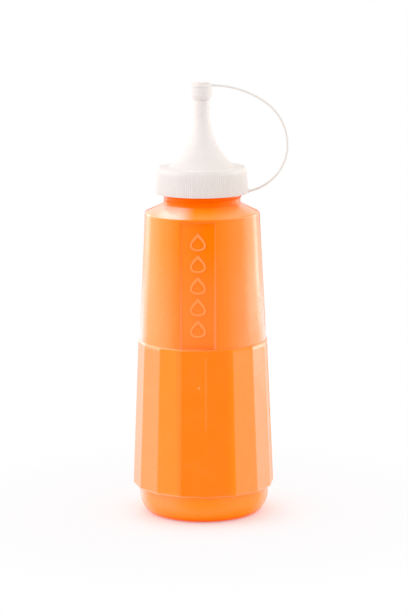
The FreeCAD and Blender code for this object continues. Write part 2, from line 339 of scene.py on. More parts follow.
# start, end, width and strength of each mark, in metres
paleMarks = {
    "speck": ((0.0005, -0.0299, 0.0638), (0.0006, -0.0299, 0.0634), 0.00045, 0.75),
    "flowLine": ((0.0037, -0.0294, 0.0772), (0.0037, -0.0308, 0.0445), 0.00030, 0.22),
    "rub": ((-0.0158, -0.0232, 0.0968), (-0.0197, -0.0206, 0.0876), 0.00045, 0.16),
}
darkMarks = {"neckSpeck": ((0.0142, -0.0102, 0.1446), (0.0144, -0.0101, 0.1443), 0.00042, 0.9)}


# The bottle's places as masks, for its colour and its gloss
def findPlaces(tree, place):
    x, y, z = addNode(tree, "ShaderNodeSeparateXYZ", {0: place}).outputs
    at = {"x": x, "y": y, "z": z, "slope": bandNode(tree, z, *heightBands["slope"])}
    for name in ("neck", "upper", "foot", "toe"):
        at[name] = rangeNode(tree, z, *heightRamps[name])
    at["seam"] = timesNode(tree, rangeNode(tree, mathNode(tree, "ABSOLUTE", y), *depthRamps["seam"]),
                           rangeNode(tree, z, *heightRamps["seam"]))
    return at


def addMarks(tree, place, colour, marks, markColour):
    for start, end, width, strength in marks.values():
        stroke = placeGroup(tree, strokeMask, Vector=place, Start=start, End=end, Width=width)["Mask"]
        colour = mixColour(tree, timesNode(tree, stroke, strength), colour, markColour)
    return colour


def makeOrangeColour(tree, tint, place, skin, at):
    x, y, z = at["x"], at["y"], at["z"]

    def across(name):
        return rangeNode(tree, x, *acrossRamps[name])

    upper = mixColour(tree, rangeNode(tree, z, *heightRamps["upperHigh"]), tint["upper"], tint["upperHigh"])
    # The upper body is painted lighter towards its left and right sides, a painted light on its sides.
    upper = mixColour(tree, across("upperLeft"), upper, tint["upperLeft"])
    upper = mixColour(tree, across("upperRight"), upper, tint["upperRight"])
    # The side facets are painted lighter than the front ones, a painted light where the side lamps fall.
    sideways = mostNode(tree, across("facetLeft"), across("facetRight"))
    colour = mixColour(tree, at["upper"], mixColour(tree, sideways, tint["facet"], tint["litFacetSide"]), upper)
    # the slope of the shoulder, painted lighter as painted light from above, with a painted highlight as a
    # cream streak at the front left and a faint one at the right
    colour = mixColour(tree, at["slope"], colour, tint["slope"])
    creamHighlight = timesNode(tree, across("creamRight"), rangeNode(tree, y, *depthRamps["creamHighlight"]),
                      across("creamLeft"))
    creamHighlight = timesNode(tree, at["slope"], mostNode(tree, creamHighlight, across("slopeRight")))
    colour = mixColour(tree, creamHighlight, colour, tint["creamHighlight"])
    colour = mixColour(tree, at["foot"], colour, tint["foot"])
    colour = mixColour(tree, rangeNode(tree, skin["Mottle"], *tint["mottle"]), colour, tint["pale"])
    scuffs = placeGroup(tree, handlingScuffs, Vector=place, **tint["scuffs"])["Mask"]
    colour = mixColour(tree, scuffs, colour, tint["pale"])
    # The foot is painted deeper near the floor and towards the right, a painted shade where it faces the
    # floor.
    shadedFootLow = timesNode(tree, rangeNode(tree, z, *heightRamps["shadedFootLow"]), across("footLeft"))
    colour = mixColour(tree, shadedFootLow, colour, tint["shadedFootLow"])
    # the recessed panel, paler towards its bottom and painted lighter at its left side as painted light
    inPanel = timesNode(tree, rangeNode(tree, y, *depthRamps["panel"]),
                        rangeNode(tree, mathNode(tree, "ABSOLUTE", x), *acrossRamps["panelSide"]),
                        bandNode(tree, z, *heightBands["panel"]))
    panel = mixColour(tree, rangeNode(tree, z, *heightRamps["panelHigh"]), tint["panelLow"], tint["panel"])
    colour = mixColour(tree, inPanel, colour, mixColour(tree, across("panelLeft"), panel, tint["pale"]))
    # painted highlights along the band's top and bottom edges, stronger at the left, then seams, deep ends
    # and single marks
    colour = addMarks(tree, place, colour, paleMarks, tint["line"])
    edges = mostNode(tree, bandNode(tree, z, *heightBands["ledgeHighlight"]),
                     bandNode(tree, z, *heightBands["rimHighlight"]))
    colour = mixColour(tree, timesNode(tree, edges, across("edgeHighlightSide")), colour, tint["line"])
    # The seam is painted a deeper red, a painted shade along its thin fin.
    colour = mixColour(tree, at["seam"], colour, tint["seam"])
    # The neck under the cap and the toe at the floor are painted deep orange, a painted shade.
    colour = mixColour(tree, mostNode(tree, at["neck"], at["toe"]), colour, tint["deep"])
    return addMarks(tree, place, colour, darkMarks, tint["dark"])


def makeOrangeGloss(tree, at):
    facing = facingNode(tree)

    def turned(name):
        return rangeNode(tree, facing, *polish[name])

    def across(name):
        return rangeNode(tree, at["x"], *polish[name])

    bend = mathNode(tree, "ADD", turned("bend"), turned("rim"))
    facetGloss = mathNode(tree, "ADD", mathNode(tree, "ADD", turned("facetBend"), turned("facetTurned")),
                          turned("facetRim"))
    upperGloss = timesNode(tree, bend, rangeNode(tree, at["z"], *polish["upperHeight"]),
                           across("upperAcross"))
    footGloss = timesNode(tree, bend, rangeNode(tree, at["z"], *polish["footHeight"]), across("footAcross"))
    gloss = mixValue(tree, at["upper"], facetGloss, upperGloss)
    gloss = mixValue(tree, at["foot"], gloss, footGloss)
    dullLedge = timesNode(tree, bandNode(tree, at["z"], *heightBands["dullLedge"]), across("dullLedge"))
    dull = mostNode(tree, timesNode(tree, at["slope"], across("dullSlope")), dullLedge,
                    timesNode(tree, at["neck"], polish["dullNeck"]), at["seam"])
    coat = timesNode(tree, bandNode(tree, at["z"], *heightBands["coat"]),
                     mathNode(tree, "SUBTRACT", 1.0, at["seam"]), across("coatRight"), across("coatLeft"))
    return timesNode(tree, gloss, mathNode(tree, "SUBTRACT", 1.0, dull)), coat


def makeOrangePlastic(name, tint):
    material, tree, shader, place = startMaterial(name)
    skin = placeGroup(tree, mouldedSkin, Vector=place, **tint["skin"])
    at = findPlaces(tree, place)
    gloss, coat = makeOrangeGloss(tree, at)
    # The neck and the toe are given a faint painted glow, standing in for light through the plastic.
    glow = mixColour(tree, at["neck"], tint["noGlow"], tint["neckGlow"])
    feedShader(tree, shader, {
        "Base Color": makeOrangeColour(tree, tint, place, skin, at),
        "Emission Color": mixColour(tree, at["toe"], glow, tint["toeGlow"]),
        "Roughness": rangeNode(tree, skin["Mottle"], *tint["roughness"]),
        "Normal": bumpNode(tree, skin["Height"], *tint["bump"]),
        "Specular IOR Level": gloss, "Coat Weight": coat, **tint["shell"]})
    return material


white = {
    "cap": ((0.765, 0.707, 0.683, 1), (0.795, 0.737, 0.713, 1)),
    "strap": ((0.70, 0.69, 0.68, 1), (0.73, 0.72, 0.71, 1)),
    "shadeAndBounce": (0.770, 0.712, 0.668, 1), "shadeAndBounceSide": (-0.004, 0.012, 0, 0.8), "worn": (0.62, 0.59, 0.57, 1),
    "mottle": (0.35, 0.7), "gloss": (0.10, 0.55, 0.45, 0.02), "roughness": (0.3, 0.75, 0.38, 0.5),
    "bump": (0.25, 0.0003), "skin": {"Grain_Scale": 1800.0, "Wave_Scale": 90.0, "Grain_Share": 0.2},
    "scuffs": {"Scale": 120.0, "Amount": 0.25},
}


def makeWhitePlastic(name, plainTint, paleTint):
    material, tree, shader, place = startMaterial(name)
    skin = placeGroup(tree, mouldedSkin, Vector=place, **white["skin"])
    scuffs = placeGroup(tree, handlingScuffs, Vector=place, **white["scuffs"])["Mask"]
    across = addNode(tree, "ShaderNodeSeparateXYZ", {0: place}).outputs[0]
    plain = mixColour(tree, rangeNode(tree, skin["Mottle"], *white["mottle"]), plainTint, paleTint)
    # Towards the right the plastic is painted a little darker and warmer, a painted shade with painted orange
    # bounce light.
    plain = mixColour(tree, rangeNode(tree, across, *white["shadeAndBounceSide"]), plain, white["shadeAndBounce"])
    feedShader(tree, shader, {
        "Base Color": mixColour(tree, scuffs, plain, white["worn"]),
        "Specular IOR Level": rangeNode(tree, facingNode(tree), *white["gloss"]),
        "Roughness": rangeNode(tree, skin["Mottle"], *white["roughness"]),
        "Normal": bumpNode(tree, skin["Height"], *white["bump"])})
    return material


sauce = {
    "dark": (0.62, 0.05, 0.005, 1), "light": (0.80, 0.12, 0.01, 1), "fleck": (0.86, 0.42, 0.10, 1),
    "pulp": (260.0, 5.0, 0.6), "fleckScale": 420.0, "mottle": (0.35, 0.7), "fleckSize": (0.08, 0.22, 1, 0),
    "roughness": (0.3, 0.8, 0.15, 0.35), "bump": (0.4, 0.0005),
}


def makeSauceSkin():
    material, tree, shader, place = startMaterial("chiliSauce")
    pulp = noiseNode(tree, place, *sauce["pulp"])
    cells = addNode(tree, "ShaderNodeTexVoronoi", {
        "Vector": place, "Scale": sauce["fleckScale"]}).outputs["Distance"]
    base = mixColour(tree, rangeNode(tree, pulp, *sauce["mottle"]), sauce["dark"], sauce["light"])
    feedShader(tree, shader, {
        "Base Color": mixColour(tree, rangeNode(tree, cells, *sauce["fleckSize"]), base, sauce["fleck"]),
        "Roughness": rangeNode(tree, pulp, *sauce["roughness"]),
        "Normal": bumpNode(tree, pulp, *sauce["bump"])})
    return material


orangePlastic = makeOrangePlastic("orangePlastic", orange)
reliefPlastic = makeOrangePlastic("reliefPlastic", relief)
whitePlastic = makeWhitePlastic("whitePlastic", *white["cap"])
# The strap's plastic is a darker copy of the cap's, a painted shade on the thin strap.
strapShadedPlastic = makeWhitePlastic("strapShadedPlastic", *white["strap"])
chiliSauce = makeSauceSkin()
print("materials made")


# bottle

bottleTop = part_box("bottle")[1].z / mm
bottle = {
    "wall": 1.2, "neckRadius": 17.5, "neckFoot": 143.7, "neckRound": 0.8, "rimRound": 0.25,
    "shoulderRadius": 25.9, "shoulderHeight": 139.6, "shoulderRound": 1.2,
    "waistRadius": 28.9, "footTop": 29.7, "kneeRadius": 29.35, "kneeHeight": 5.1, "kneeRound": 12.5,
    "toeRadius": 25.8, "toeRound": 4.2, "ringRadius": 22.4, "rampWidth": 1.3, "pushUp": 2.6,
    "bandBottom": 13.2, "bandTop": 80.7, "bandBottomRadius": 31.9, "bandTopRadius": 29.1,
    "facets": 16, "facetTurn": -2.4, "facetRound": 2.2, "edgeRound": 0.35,
    "panelHalf": 8.2, "panelTop": 138.0, "panelTopDepth": 0.6, "panelBottomDepth": 1.0, "panelEase": 1.0,
    "seamHeight": 0.28, "seamWidth": 1.2, "lowerEdgeRound": 0.7, "ledgeMiddle": 0.29,
    "bandRows": ((0.1, 15.6), (0.8, 33.0), (1.6, 52.0)),  # how far inside the band's foot, height
    "bandHighRows": ((0.4, 70.0), (0.1, 78.6)),  # how far outside the band's top, height
    "slopeRows": (81.2, 88, 100, 112, 124, 133, 136.2, 136.8, 137.2, 137.5, 137.7, 137.9, 138.15, 138.5),
    "innerSlopeRows": (139.15, 138.8, 138.5, 138.2, 137.6, 124, 100, 81.2),
    # columns of faces, in degrees from a corner, the panel's middle and a seam
    "cornerColumns": (-1.4, -0.8, -0.4, 0, 0.4, 0.8, 1.4), "flatColumns": 5,
    "panelColumns": (0, 0.16, 0.3, 0.42, 0.53, 0.62, 0.7, 0.78, 1), "panelFrom": 15.6, "panelWide": 4.8,
    "seamColumns": (-1.2, -0.6, 0, 0.6, 1.2), "closestColumns": 0.15,
    "warpFrom": 12.0, "warpShare": 0.8, "warpTo": 29.0, "panelEdgeIn": 1.2, "panelEdgeOut": 0.6,
}
facetStep = 360 / bottle["facets"]


# Distance from the axis to the panel's flat floor, along -Y
def panelFloor(height):
    b = bottle
    slope = (b["waistRadius"] - b["shoulderRadius"]) / (b["shoulderHeight"] - b["bandTop"])
    topRadius = b["shoulderRadius"] + slope * (b["shoulderHeight"] - b["panelTop"])
    floorTop = math.sqrt(topRadius ** 2 - b["panelHalf"] ** 2) - b["panelTopDepth"]
    floorBottom = math.sqrt(b["waistRadius"] ** 2 - b["panelHalf"] ** 2) - b["panelBottomDepth"]
    share = (height - b["bandTop"]) / (b["panelTop"] - b["bandTop"])
    return floorBottom + (floorTop - floorBottom) * share


# Distance from the axis to a polygon with soft corners, at an angle in degrees from -Y
def facetRadius(flatRadius, angle, rounding):
    fromFlat = (angle - bottle["facetTurn"] + facetStep / 2) % facetStep - facetStep / 2
    half = math.radians(facetStep / 2)
    fromCorner = half - math.radians(abs(fromFlat))
    centre = (flatRadius - rounding) / math.cos(half)
    across = centre * math.sin(fromCorner)
    onArc = centre * math.cos(fromCorner) + math.sqrt(max(rounding ** 2 - across ** 2, 0))
    tangent = half - math.atan((flatRadius * math.tan(half) - rounding * math.tan(half)) / flatRadius)
    return onArc if fromCorner < tangent else flatRadius / math.cos(math.radians(fromFlat))


def ease(value):
    value = min(max(value, 0), 1) ** 1.5
    return value * value * (3 - 2 * value)


# Angles of the bottle's columns of faces, closer together at corners, panel edges and seams
def columnAngles():
    b, marks = bottle, []
    reach = b["cornerColumns"][-1]
    for k in range(b["facets"]):
        cornerAngle = b["facetTurn"] + facetStep * (k + 0.5)
        marks += [cornerAngle + d for d in b["cornerColumns"]]
        marks += [cornerAngle + reach + (facetStep - 2 * reach) * i / b["flatColumns"]
                  for i in range(1, b["flatColumns"])]
    for side in (-1, 1):
        marks += [side * (b["panelFrom"] + b["panelWide"] * share) for share in b["panelColumns"]]
        marks += [side * 90 + d for d in b["seamColumns"]]
    turned = sorted((mark - 90) % 360 for mark in marks)
    kept = [0.0]
    for mark in turned:
        if mark - kept[-1] > b["closestColumns"]:
            kept.append(mark)
    return kept + [360.0]


# Moves columns beside the panel sideways, so that its edges run along them
def panelWarp(angle, radius, inset):
    b = bottle
    side = 1 if angle >= 0 else -1
    near = math.degrees(math.asin((b["panelHalf"] - b["panelEdgeIn"] + inset) / radius))
    far = math.degrees(math.asin((b["panelHalf"] + b["panelEdgeOut"] + inset) / radius))
    knots = [(0, 0), (b["warpFrom"], b["warpShare"] * near), (b["panelFrom"], near),
             (b["panelFrom"] + b["panelWide"], far), (b["warpTo"], b["warpTo"]), (180, 180)]
    size = abs(angle)
    for (a0, b0), (a1, b1) in zip(knots, knots[1:]):
        if size <= a1:
            return side * (b0 + (b1 - b0) * (size - a0) / (a1 - a0))
    return angle


# 1 on the panel's floor, 0 outside it, easing up at its sides and its top
def panelShare(across, height, inset):
    width = bottle["panelEase"]
    side = ease((across - bottle["panelHalf"] - inset + 0.9 * width) / width)
    top = ease((height - bottle["panelTop"] - inset + 0.9 * width) / width)
    return (1 - side) * (1 - top)


# From the middle of the base up the outside, over the rim and down the inside
def bottleOutline():
    b, w, e = bottle, bottle["wall"], bottle["edgeRound"]
    foot, top = b["bandBottomRadius"], b["bandTopRadius"]
    slope = (b["waistRadius"] - b["shoulderRadius"]) / (b["shoulderHeight"] - b["bandTop"])
    outside = [
        (0, b["pushUp"], 0), (b["ringRadius"] - b["rampWidth"], b["rampWidth"], 1.0),
        (b["ringRadius"], 0, 0.8), (b["toeRadius"], 0, b["toeRound"]),
        (b["kneeRadius"], b["kneeHeight"], b["kneeRound"]), (b["footTop"], b["bandBottom"], 0.3),
        (foot, b["bandBottom"], b["lowerEdgeRound"]),
    ]
    outside += [(foot - inwards, height, 0) for inwards, height in b["bandRows"]]
    outside += [(top + outwards, height, 0) for outwards, height in b["bandHighRows"]]
    outside += [(top + 0.02, b["bandTop"] - e, 0), (top + 0.01, b["bandTop"] - b["ledgeMiddle"] * e, 0),
                (top, b["bandTop"], 0), (b["waistRadius"], b["bandTop"], 0)]
    outside += [(b["waistRadius"] - slope * (height - b["bandTop"]), height, 0) for height in b["slopeRows"]]
    outside += [(b["shoulderRadius"], b["shoulderHeight"], b["shoulderRound"]),
                (b["neckRadius"], b["neckFoot"], b["neckRound"]), (b["neckRadius"], bottleTop, b["rimRound"])]
    inside = [(b["neckRadius"] - w, bottleTop, b["rimRound"]), (b["neckRadius"] - w, b["neckFoot"] - w, 2.0),
              (b["shoulderRadius"] - w - 0.9, b["shoulderHeight"] + 0.1, 0)]
    inside += [(b["waistRadius"] - w - slope * (height - b["bandTop"]), height, 0)
               for height in b["innerSlopeRows"]]
    inside += [
        (b["waistRadius"] - w, b["bandTop"] - w, 0), (top - w + 0.3, b["bandTop"] - w - 1.5, 0),
        (foot - w, b["bandBottom"] + w, 0), (b["footTop"] - w, b["bandBottom"] + w, 0),
        (b["kneeRadius"] - w, b["kneeHeight"], 8.0), (b["toeRadius"] - 0.8, w, 3.0),
        (b["ringRadius"] - 0.3, w, 0), (b["ringRadius"] - b["rampWidth"] - 0.3, b["rampWidth"] + w, 0),
        (0, b["pushUp"] + w, 0),
    ]
    return outside + inside


# Numbers the outline's points in order and gives their places
def numberRows(row, first):
    here, before, places = first, None, []
    while here is not None:
        places.append((here.co.x, here.co.z))
        here[row] = len(places)
        onward = [edge.other_vert(here) for edge in here.link_edges if edge.other_vert(here) is not before]
        before, here = here, (onward[0] if onward else None)
    return places


# Moves a point of the turned outline to the flats, the ledge's soft edge, the panel and the seams
def shapePoint(angle, radius, height, inset):
    b, e, touch = bottle, bottle["edgeRound"], 0.001
    low, high = b["bandBottom"] + inset, b["bandTop"] - inset
    waist = b["waistRadius"] - inset
    onBand = low - touch < height < high + touch and radius > b["footTop"] - inset + 0.8
    onBand = onBand or low + 0.1 < height < high - 0.1
    onRim = abs(height - high) < e + 0.01 and radius > waist + 0.05
    if onBand or onRim:
        share = (height - b["bandBottom"]) / (b["bandTop"] - b["bandBottom"])
        flat = b["bandBottomRadius"] + (b["bandTopRadius"] - b["bandBottomRadius"]) * share - inset
        newRadius = facetRadius(flat, angle, max(b["facetRound"] - inset, 0.8))
        if not onRim and height < low + 2:
            newRadius -= max(b["bandBottomRadius"] - inset - radius, 0)
        if onRim and inset == 0:
            edge = min(e, 0.85 * (newRadius - waist))
            if height > high - touch:
                newRadius -= edge
            elif height > high - 0.9 * e:
                newRadius -= b["ledgeMiddle"] * edge
                height = high - b["ledgeMiddle"] * edge
            else:
                height = high - edge
        radius = newRadius
    elif height >= high - touch:
        angle = panelWarp(angle, max(radius, b["shoulderRadius"] - inset), inset)
        across = abs(math.sin(math.radians(angle))) * radius
        if abs(angle) < 60:
            floor = (panelFloor(height) - inset) / math.cos(math.radians(angle))
            radius += (floor - radius) * panelShare(across, height, inset)
    if inset == 0 and 3 < height < b["neckFoot"] - 0.3 and radius > b["neckRadius"] + 0.3:
        ridge = b["seamHeight"] * max(1 - abs(abs(angle) - 90) / b["seamWidth"], 0)
        if height > b["shoulderHeight"]:
            height += ridge
        elif abs(height - low) > 1 and abs(height - high) > 1:
            radius += ridge
    return angle, radius, height


def buildBottle():
    bm = bmesh.new()
    row = bm.verts.layers.int.new("row")
    places = numberRows(row, wire(bm, bottleOutline()))
    rimRow = max(range(len(places)), key=lambda i: (places[i][1], -places[i][0])) + 1
    angles = columnAngles()
    last = bm.verts[:] + bm.edges[:]
    for a, c in zip(angles, angles[1:]):
        last = bmesh.ops.spin(bm, geom=last, cent=(0, 0, 0), axis=upright, angle=math.radians(c - a),
                              steps=1)["geom_last"]
    for vert in bm.verts:
        radius, height = places[vert[row] - 1]
        if radius < 0.01:  # the middle of the base stays
            continue
        angle = math.degrees(math.atan2(vert.co.x, -vert.co.y))
        inset = bottle["wall"] if vert[row] >= rimRow else 0.0
        angle, radius, height = shapePoint(angle, radius, height, inset)
        a = math.radians(angle)
        vert.co = (radius * math.sin(a), -radius * math.cos(a), height)
    return finishPiece(bm, "bottle_shell", orangePlastic, replaced=("bottle",))


nib = {"radius": 0.55, "stretch": (0.8, 0.9, 1.1), "place": (30.45, 0, 47.7)}


# A tiny nib left on the moulding seam
def buildNib():
    bm = bmesh.new()
    bmesh.ops.create_icosphere(bm, subdivisions=3, radius=nib["radius"])
    bmesh.ops.scale(bm, vec=nib["stretch"], verts=bm.verts)
    bmesh.ops.translate(bm, vec=nib["place"], verts=bm.verts)
    return finishPiece(bm, "seam_nib", orangePlastic)


buildBottle()
buildNib()


# thread on the neck

thread = {"turns": 1.2, "startAngle": -88.0, "startHeight": 144.8, "pitch": 3.6, "proud": 0.45,
          "halfHeight": 0.65, "sunk": 0.35, "steps": 130, "taperTurns": 0.08, "taperCurve": 0.6,
          "endHeight": 0.25, "crest": 0.15, "crestRound": 0.25}


# A low rounded bead that climbs round the neck, tapering into it at both ends
def buildThread():
    t, root = thread, bottle["neckRadius"]
    bm = bmesh.new()
    wire(bm, [(root - t["sunk"], t["startHeight"] - t["halfHeight"], 0),
              (root + t["proud"], t["startHeight"] - t["crest"], t["crestRound"]),
              (root + t["proud"], t["startHeight"] + t["crest"], t["crestRound"]),
              (root - t["sunk"], t["startHeight"] + t["halfHeight"], 0)], closed=True)
    step = bm.verts.layers.int.new("step")
    bmesh.ops.rotate(bm, verts=bm.verts, cent=(0, 0, 0),
                     matrix=Matrix.Rotation(math.radians(t["startAngle"] - 90), 3, "Z"))
    last = bm.verts[:] + bm.edges[:]
    for i in range(t["steps"]):
        last = bmesh.ops.spin(bm, geom=last, cent=(0, 0, 0), axis=upright,
                              dvec=(0, 0, t["pitch"] * t["turns"] / t["steps"]),
                              angle=math.radians(360 * t["turns"] / t["steps"]), steps=1)["geom_last"]
        for part in last:
            if isinstance(part, bmesh.types.BMVert):
                part[step] = i + 1
    for vert in bm.verts:
        along = vert[step] / t["steps"] * t["turns"]
        share = min(1, along / t["taperTurns"], (t["turns"] - along) / t["taperTurns"])
        radius = math.hypot(vert.co.x, vert.co.y)
        low = root - t["sunk"]
        stands = t["endHeight"] + (1 - t["endHeight"]) * share ** t["taperCurve"]
        scale = (low + (radius - low) * stands) / radius
        vert.co.x *= scale
        vert.co.y *= scale
    bmesh.ops.holes_fill(bm, edges=[edge for edge in bm.edges if edge.is_boundary], sides=0)
    return finishPiece(bm, "neck_thread", orangePlastic, sharpAngle=60)


buildThread()


# raised drops on the panel

drops = {"count": 5, "lowest": 90.1, "pitch": 9.75, "height": 8.3, "width": 7.2, "line": 0.95,
         "tipLine": 2.0, "proud": 0.40, "sunk": 0.3, "edgeRound": 0.14, "points": 40,
         "belly": 0.69, "pointCurve": 1.3}


# A closed loop in the shape of a drop, tip upwards
def dropLoop(bm, width, low, high):
    made = bmesh.ops.create_circle(bm, cap_ends=False, segments=drops["points"], radius=1)["verts"]
    for vert in made:
        around = math.atan2(vert.co.x, -vert.co.y)
        across = drops["belly"] * width * math.sin(around) * math.cos(around / 2) ** drops["pointCurve"]
        vert.co = (across, 0, (low + high) / 2 - (high - low) / 2 * math.cos(around))
    return set(edge for vert in made for edge in vert.link_edges)


# A column of outlined sauce drops, standing a little proud of the panel's floor
def buildDrops():
    d = drops
    bm = bmesh.new()
    low, high = bottle["bandTop"], bottle["panelTop"]
    lean = math.atan((panelFloor(low) - panelFloor(high)) / (high - low))
    half = d["height"] / 2
    for i in range(d["count"]):
        middle = d["lowest"] + d["pitch"] * i
        loops = dropLoop(bm, d["width"], -half, half)
        loops |= dropLoop(bm, d["width"] - 2 * d["line"], d["line"] - half, half - d["tipLine"])
        band = bmesh.ops.bridge_loops(bm, edges=list(loops))["faces"]
        made = bmesh.ops.extrude_face_region(bm, geom=band)["geom"]
        front = [g for g in made if isinstance(g, bmesh.types.BMVert)]
        frontFaces = [g for g in made if isinstance(g, bmesh.types.BMFace)]
        bmesh.ops.translate(bm, vec=(0, -(d["proud"] + d["sunk"]), 0), verts=front)
        mine = list(set(v for vert in front for edge in vert.link_edges for v in edge.verts))
        bmesh.ops.translate(bm, vec=(0, d["sunk"], 0), verts=mine)
        bmesh.ops.rotate(bm, verts=mine, cent=(0, 0, 0), matrix=Matrix.Rotation(-lean, 3, "X"))
        bmesh.ops.translate(bm, vec=(0, -panelFloor(middle), middle), verts=mine)
        rims = [edge for face in frontFaces for edge in face.edges
                if sum(other in frontFaces for other in edge.link_faces) == 1]
        bmesh.ops.bevel(bm, geom=list(set(rims)), affect="EDGES", offset=d["edgeRound"],
                        offset_type="OFFSET", segments=2, profile=0.5, material=-1)
    return finishPiece(bm, "panel_relief", reliefPlastic, sharpAngle=50)


buildDrops()


# screw cap and nozzle

capLow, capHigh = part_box("nozzle_cap")
cap = {
    "bottom": capLow.z / mm, "top": 160.2, "ribTop": 158.2, "tip": capHigh.z / mm,
    "bottomRadius": 21.1, "topRadius": 20.3, "bore": 18.9, "ribs": 140, "ribDepth": 0.3,
    "kneeIn": 0.4, "kneeHeight": 153.0, "ribTopSpread": 0.14, "ribTopStraight": 0.6, "ribSteps": 6,
    "ribCurve": 0.8, "ribRunOut": 0.3, "boreClear": 0.6, "bandSetBack": 0.30, "edgeRound": 0.9, "plate": 2.5,
    "rootRadius": 15.1, "flare": 31.0, "stemRadius": 3.7, "stemTipRadius": 3.45,
    "nozzleWall": 1.55, "mouthRadius": 1.4, "mouthDepth": 1.5, "steps": 112,
}
strapPad = {"size": (2.2, 1.8, 1.7), "outside": 21.4, "edgeRound": 0.25}


def buildSkirt():
    c = cap
    bm = bmesh.new()
    ribTopRadius = c["topRadius"] + c["ribTopSpread"]
    wire(bm, [(c["bore"], c["bottom"], 0.15), (c["bottomRadius"], c["bottom"], 0.3),
              (c["bottomRadius"] - c["kneeIn"], c["kneeHeight"], 0),
              (ribTopRadius, c["ribTop"] - c["ribTopStraight"], 0), (ribTopRadius, c["ribTop"], 0.1),
              (c["bore"], c["ribTop"], 0)], closed=True, roundSteps=3)
    turn(bm, c["ribs"] * c["ribSteps"])
    for vert in bm.verts:
        radius = math.hypot(vert.co.x, vert.co.y)
        if radius < c["bore"] + c["boreClear"]:
            continue
        phase = math.atan2(vert.co.y, vert.co.x) * c["ribs"]
        share = (0.5 - 0.5 * math.cos(phase)) ** c["ribCurve"]
        if vert.co.z > c["ribTop"] - c["ribRunOut"]:  # the ribs run out at the band
            share = 1
        scale = 1 - c["ribDepth"] * share / radius
        vert.co.x *= scale
        vert.co.y *= scale
    return finishPiece(bm, "cap_skirt", whitePlastic, replaced=("nozzle_cap",))


def buildNozzle():
    c = cap
    bm = bmesh.new()
    centre = c["stemRadius"] + c["flare"]
    flareTop = c["top"] + math.sqrt(c["flare"] ** 2 - (centre - c["rootRadius"]) ** 2)
    sweep = math.degrees(math.asin((flareTop - c["top"]) / c["flare"]))
    innerFlare = c["flare"] + c["nozzleWall"]
    under = c["top"] - c["plate"]
    innerSweep = math.degrees(math.asin((flareTop - under) / innerFlare))
    ribSet = c["bandSetBack"]
    tipInner = c["stemTipRadius"] - c["nozzleWall"]
    wire(bm, [
        (c["bore"], c["ribTop"], 0), (c["topRadius"] + c["ribTopSpread"] - ribSet, c["ribTop"], 0),
        (c["topRadius"] - ribSet, c["top"], c["edgeRound"]), (c["rootRadius"], c["top"], 0),
        (centre, flareTop, sweep, 18), (c["stemTipRadius"], c["tip"], 0.3), (c["mouthRadius"], c["tip"], 0.2),
        (c["mouthRadius"], c["tip"] - c["mouthDepth"], 0), (tipInner, c["tip"] - c["mouthDepth"], 0),
        (c["stemRadius"] - c["nozzleWall"], flareTop, 0), (centre, flareTop, -innerSweep, 12),
        (c["bore"], under, 0)], closed=True)
    turn(bm, c["steps"])
    return finishPiece(bm, "cap_nozzle", whitePlastic, sharpAngle=40)


def buildStrapPad():
    bm = bmesh.new()
    bmesh.ops.create_cube(bm, size=1)
    deep, wide, tall = strapPad["size"]
    bmesh.ops.scale(bm, vec=(deep, wide, tall), verts=bm.verts)
    bmesh.ops.translate(bm, vec=(strapPad["outside"] - deep / 2, 0, cap["bottom"] + tall / 2), verts=bm.verts)
    bmesh.ops.bevel(bm, geom=bm.edges[:], affect="EDGES", offset=strapPad["edgeRound"], offset_type="OFFSET",
                    segments=3, profile=0.5, material=-1)
    return finishPiece(bm, "strap_pad", whitePlastic)


buildSkirt()
buildNozzle()
buildStrapPad()


# tip cap and strap

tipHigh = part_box("tip_cap")[1]
tip = {
    "bottom": 190.7, "bodyRadius": 4.9, "bottomRadius": 3.95, "taperHeight": 1.8,
    "flangeRadius": 5.15, "flangeTop": 197.6, "flangeThickness": 1.1, "bossRadius": 3.6,
    "top": tipHigh.z / mm, "socketRadius": 3.6, "socketTop": 196.1, "socketSpread": 0.12, "steps": 72,
    "strapThickness": 1.0, "strapReach": tipHigh.x / mm - 0.5, "strapBelly": 0.44,  # share of its height
    "strapTurns": (35.0, 55.0, 42.0, 36.0), "strapPoints": 20, "strapRoot": 1,
    "strapEndSlope": 12, "strapEnd": 0.8,
}


def buildTipCap():
    t = tip
    bm = bmesh.new()
    flangeFoot = t["flangeTop"] - t["flangeThickness"]
    wire(bm, [
        (0, t["socketTop"], 0), (t["socketRadius"], t["socketTop"], 0.2),
        (t["socketRadius"] + t["socketSpread"], t["bottom"], 0.1), (t["bottomRadius"], t["bottom"], 0.1),
        (t["bodyRadius"], t["bottom"] + t["taperHeight"], 0.5),
        (t["bodyRadius"], flangeFoot, 0), (t["flangeRadius"], flangeFoot, 0.12),
        (t["flangeRadius"], t["flangeTop"], 0.3), (t["bossRadius"], t["flangeTop"], 0.15),
        (t["bossRadius"], t["top"], 0.3), (0, t["top"], 0)], roundSteps=3)
    turn(bm, t["steps"])
    return finishPiece(bm, "tip_cover", whitePlastic, replaced=("tip_cap",))


# Way along an arc of radius 1 that starts at a heading and turns by an angle
def arcStep(heading, turnBy):
    a, b = math.radians(heading), math.radians(heading + turnBy)
    return Vector((math.sin(b) - math.sin(a), math.cos(b) - math.cos(a)))


